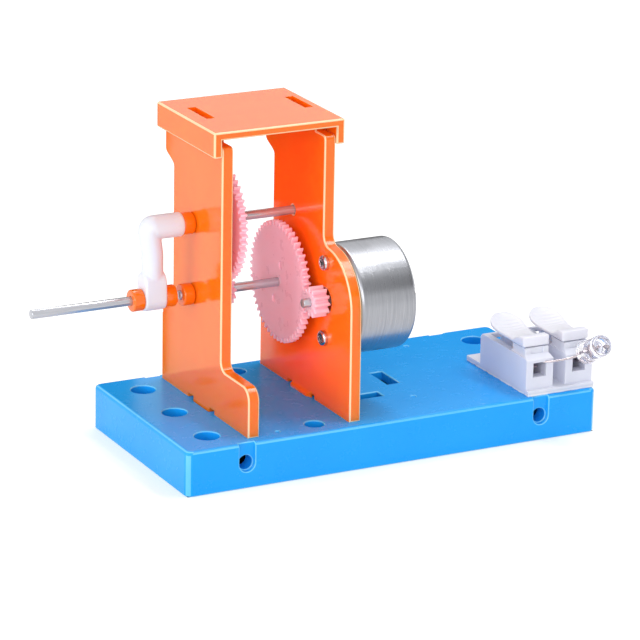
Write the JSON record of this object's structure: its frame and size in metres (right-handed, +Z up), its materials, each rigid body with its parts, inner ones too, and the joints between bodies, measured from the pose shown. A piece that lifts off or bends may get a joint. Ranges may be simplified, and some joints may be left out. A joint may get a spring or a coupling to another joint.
{
  "type": "hand crank generator",
  "caption": "Hand crank generator on a moulded base: a crank turns a two-stage spur gear train and a small motor in an upright frame, with a light-emitting diode in a push terminal.",
  "frame": {"origin": "centre of the base's underside, on the crossing of its ribs", "axes": "+X along the base towards the push terminal, +Y to the back, +Z up; at rest the crank arm hangs straight down"},
  "size_m": [0.1225, 0.057, 0.0737],
  "materials": {
    "base_plastic": "gloss",
    "plate_plastic": "gloss",
    "collar_plastic": "gloss",
    "arm_nylon": "translucent satin",
    "gear_nylon": "translucent satin",
    "shaft_steel": "polished",
    "can_steel": "turned, with fine rings",
    "end_cap_plastic": "matte",
    "bush_bronze": "sintered",
    "magnet_ferrite": "matte",
    "core_steel": "laminated",
    "winding_copper": "enamelled wire",
    "brush_brass": "satin",
    "screw_steel": "plated",
    "terminal_nylon": "satin",
    "foam_tape": "matte",
    "clamp_steel": "plated",
    "lens_epoxy": "clear",
    "lead_wire": "tinned"
  },
  "bodies": {
    "frame": {"base": "base_plastic", "left_plate": "plate_plastic", "right_plate": "plate_plastic", "cap": "plate_plastic", "motor_can": "can_steel", "motor_end_cap": "end_cap_plastic", "motor_front_bearing": "bush_bronze", "motor_rear_bearing": "bush_bronze", "motor_magnets": "magnet_ferrite", "brushes": "brush_brass", "motor_terminals": "brush_brass", "motor_screws": "screw_steel", "terminal_body": "terminal_nylon", "terminal_tape": "foam_tape", "terminal_clamp_left": "clamp_steel", "terminal_clamp_right": "clamp_steel", "led_lens": "lens_epoxy", "led_anode_lead": "lead_wire", "led_cathode_lead": "lead_wire"},
    "crank": {"crank_shaft": "shaft_steel", "crank_arm": "arm_nylon", "crank_collar": "collar_plastic", "crank_gear": "gear_nylon"},
    "handle": {"handle_rod": "shaft_steel", "handle_collar_outer": "collar_plastic", "handle_collar_inner": "collar_plastic"},
    "idler": {"idler_shaft": "shaft_steel", "idler_collar": "collar_plastic", "idler_pinion": "gear_nylon", "idler_gear": "gear_nylon"},
    "rotor": {"motor_shaft": "shaft_steel", "motor_pinion": "gear_nylon", "armature_core": "core_steel", "armature_windings": "winding_copper", "commutator": "winding_copper"},
    "lever_left": {"terminal_lever_left": "terminal_nylon"},
    "lever_right": {"terminal_lever_right": "terminal_nylon"}
  },
  "joints": [
    {"name": "crank_spin", "type": "hinge", "parent": "frame", "child": "crank", "pos_m": [-0.0211, 0.0067, 0.05], "axis": [1, 0, 0], "continuous": true},
    {"name": "handle_spin", "type": "hinge", "parent": "crank", "child": "handle", "pos_m": [-0.0439, 0.0067, 0.0342], "axis": [1, 0, 0], "continuous": true},
    {"name": "idler_spin", "type": "hinge", "parent": "frame", "child": "idler", "pos_m": [-0.0211, 0.0067, 0.034], "axis": [1, 0, 0], "continuous": true},
    {"name": "motor_spin", "type": "hinge", "parent": "frame", "child": "rotor", "pos_m": [-0.0025, -0.0093, 0.034], "axis": [1, 0, 0], "continuous": true},
    {"name": "lever_left_press", "type": "hinge", "parent": "frame", "child": "lever_left", "pos_m": [0.0364, -0.01405, 0.017], "axis": [-1, 0, 0], "range_deg": [0, 8], "stiffness_Nm_per_rad": 0.1, "springref_deg": -5.73},
    {"name": "lever_right_press", "type": "hinge", "parent": "frame", "child": "lever_right", "pos_m": [0.0464, -0.01405, 0.017], "axis": [-1, 0, 0], "range_deg": [0, 8], "stiffness_Nm_per_rad": 0.1, "springref_deg": -5.73}
  ],
  "couplings": [
    {"joint": "idler_spin", "follows": "crank_spin", "ratio": -4.8182},
    {"joint": "motor_spin", "follows": "crank_spin", "ratio": 23.215}
  ]
}
